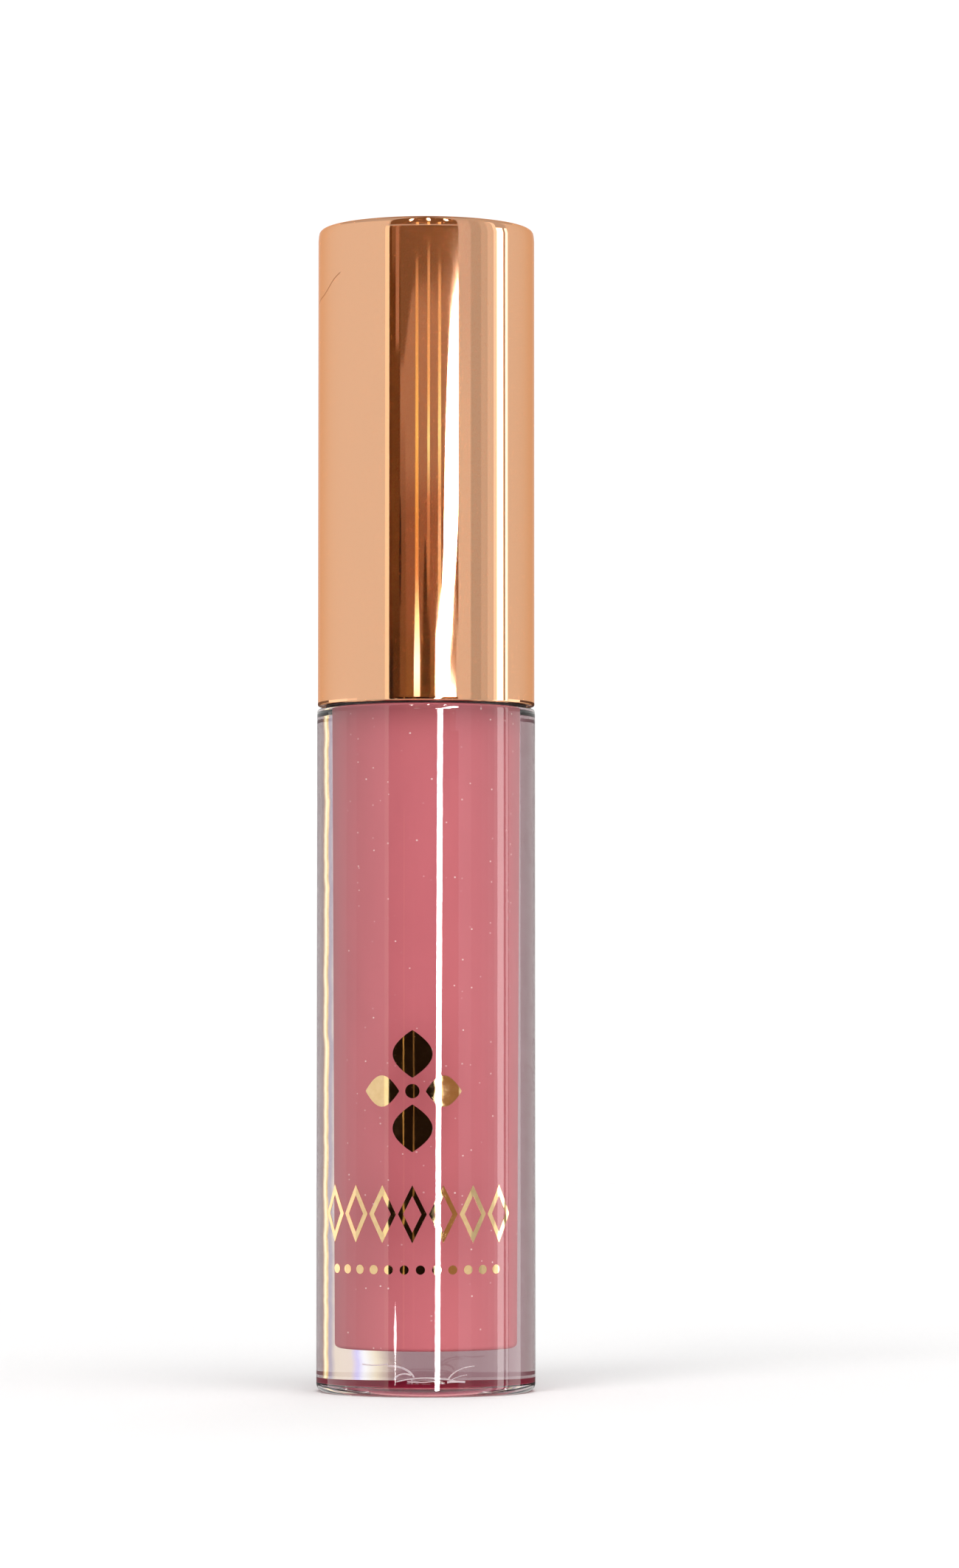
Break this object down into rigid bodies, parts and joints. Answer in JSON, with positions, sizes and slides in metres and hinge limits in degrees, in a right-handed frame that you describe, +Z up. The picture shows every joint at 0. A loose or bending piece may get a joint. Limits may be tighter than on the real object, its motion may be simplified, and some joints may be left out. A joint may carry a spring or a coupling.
{
  "type": "lip gloss tube",
  "caption": "Slim round lip gloss tube with a thick clear wall, tinted filling, gold foil motif and a tall rose-gold screw cap that carries a flocked wand.",
  "frame": {"origin": "middle of the underside of the clear body, on the plane it stands on", "axes": "+Z up the tube's axis, the decorated front faces -Y, +X to the right of someone who faces the front"},
  "size_m": [0.0192, 0.0192, 0.1022],
  "materials": {
    "clear_wall": "clear moulded plastic, polished, very thick",
    "wiper_soft": "soft milky moulded plastic",
    "gloss": "thick pink gloss with a fine shimmer",
    "label": "deep rose printed film",
    "gold_foil": "hot-stamped mirror gold foil",
    "rose_gold": "metallised rose-gold mirror",
    "liner_plastic": "black moulded plastic",
    "seal_foam": "fine closed-cell foam",
    "rod_plastic": "natural moulded plastic, wet with gloss low down",
    "tip_soft": "soft elastomer",
    "flock": "short flocked fibres soaked in gloss"
  },
  "bodies": {
    "vial": {"bottle": "clear_wall", "wiper": "wiper_soft", "gloss_fill": "gloss", "base_label": "label", "foil_emblem": "gold_foil", "foil_band": "gold_foil", "foil_line": "gold_foil"},
    "seal": {"seal_ring": "seal_foam"},
    "cap": {"cap_shell": "rose_gold", "cap_liner": "liner_plastic", "wand_rod": "rod_plastic", "tip_core": "tip_soft", "tip_flock": "flock"}
  },
  "joints": [
    {"name": "cap_rise", "type": "slide", "parent": "vial", "child": "seal", "axis": [0, 0, 1], "range_m": [0, 0.0721]},
    {"name": "cap_turn", "type": "hinge", "parent": "seal", "child": "cap", "pos_m": [0, 0, 0.0775], "axis": [0, 0, 1], "range_deg": [0, 10800]}
  ],
  "couplings": [
    {"joint": "cap_rise", "follows": "cap_turn", "m_per_rad": 0.00038197}
  ]
}
